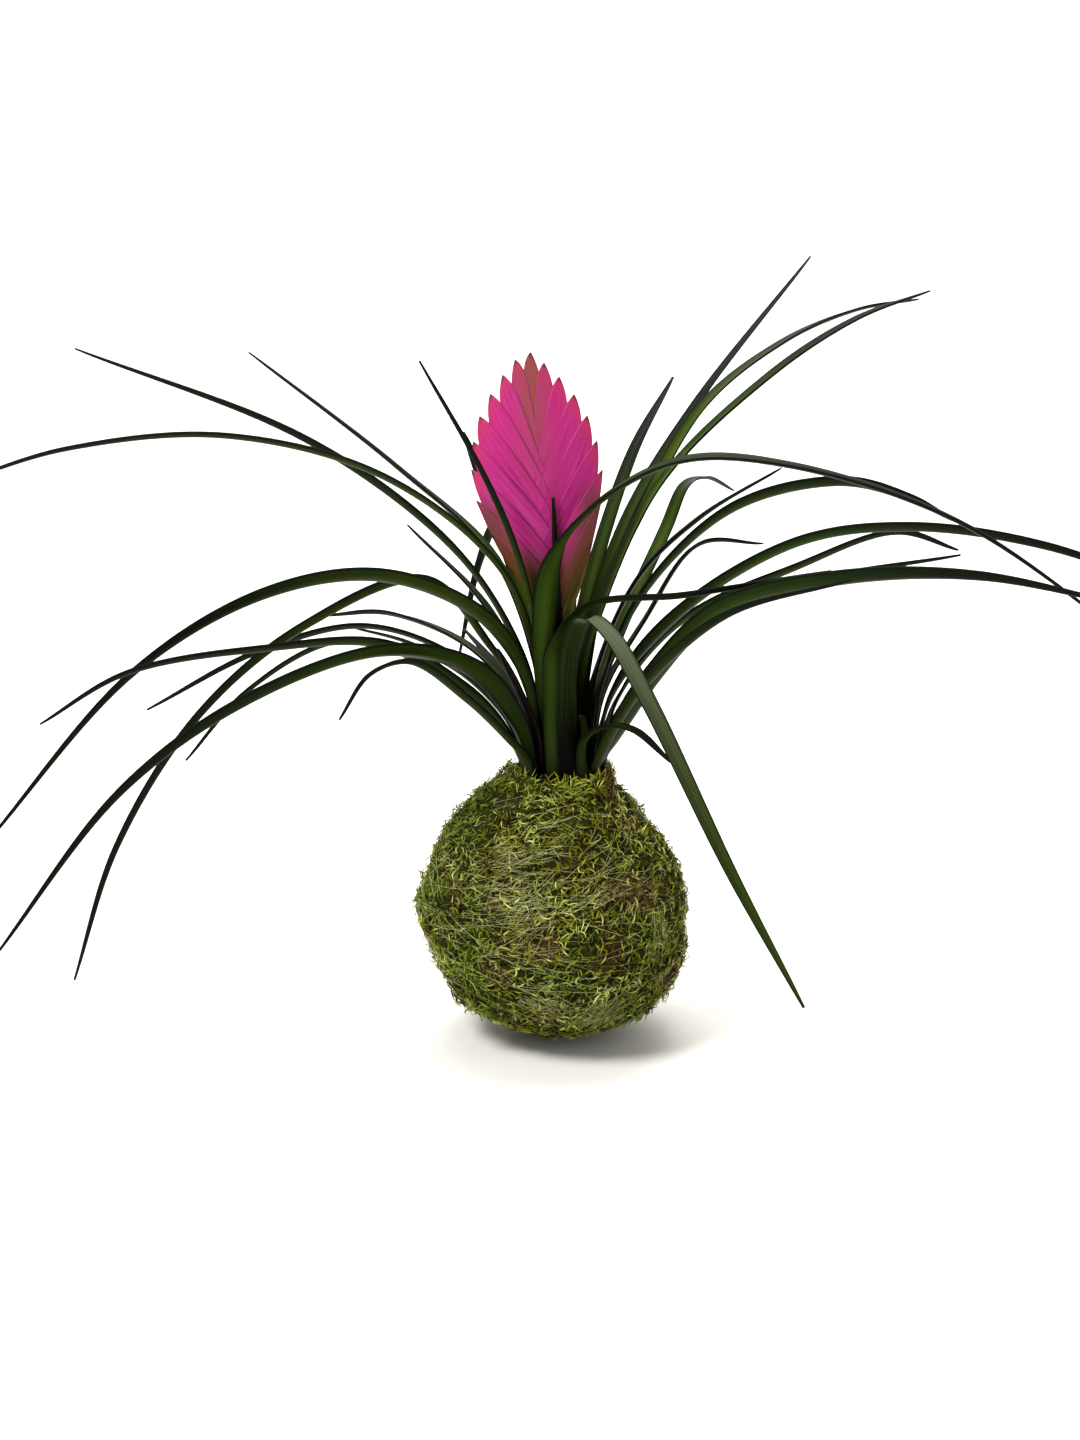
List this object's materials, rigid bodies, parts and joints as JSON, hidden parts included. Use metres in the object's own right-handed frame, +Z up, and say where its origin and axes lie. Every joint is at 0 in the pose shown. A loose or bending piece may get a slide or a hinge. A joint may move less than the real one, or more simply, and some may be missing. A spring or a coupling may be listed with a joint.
{
  "type": "kokedama moss ball plant",
  "caption": "Flowering pink quill plant with arching grassy leaves, rooted in a thread-bound moss ball that rests on its flat spot.",
  "frame": {"origin": "middle of the flat spot that the moss ball rests on", "axes": "+Z up the plant; the flower's broad face looks along -Y; +X lies along the widest spread of the leaves"},
  "size_m": [0.4437, 0.247, 0.2734],
  "materials": {
    "moss": "fuzzy, matt, uneven",
    "soil": "rough, crumbly",
    "thread": "fine, slightly shiny",
    "stem": "fibrous, matt",
    "stalk": "smooth, satin",
    "bract": "smooth, satin",
    "leaf": "satin, faintly scaly"
  },
  "bodies": {
    "root": {"moss_jacket": "moss", "soil_ball": "soil", "binding_thread": "thread", "stem": "stem", "flower_stalk": "stalk", "flower_spike": "bract", "leaf_left_01": "leaf", "leaf_left_02": "leaf", "leaf_left_03": "leaf", "leaf_left_04": "leaf", "leaf_left_05": "leaf", "leaf_left_06": "leaf", "leaf_left_07": "leaf", "leaf_left_08": "leaf", "leaf_left_09": "leaf", "leaf_left_10": "leaf", "leaf_left_11": "leaf", "leaf_left_12": "leaf", "leaf_left_13": "leaf", "leaf_left_14": "leaf", "leaf_left_15": "leaf", "leaf_left_16": "leaf", "leaf_back_01": "leaf", "leaf_back_02": "leaf", "leaf_back_03": "leaf", "leaf_right_01": "leaf", "leaf_right_02": "leaf", "leaf_right_03": "leaf", "leaf_right_04": "leaf", "leaf_right_05": "leaf", "leaf_right_06": "leaf", "leaf_right_07": "leaf", "leaf_right_08": "leaf", "leaf_right_09": "leaf", "leaf_right_10": "leaf", "leaf_right_11": "leaf", "leaf_right_12": "leaf", "leaf_right_13": "leaf", "leaf_right_14": "leaf", "leaf_right_15": "leaf", "leaf_right_16": "leaf", "leaf_right_17": "leaf", "leaf_right_18": "leaf", "leaf_front_01": "leaf"}
  },
  "joints": []
}
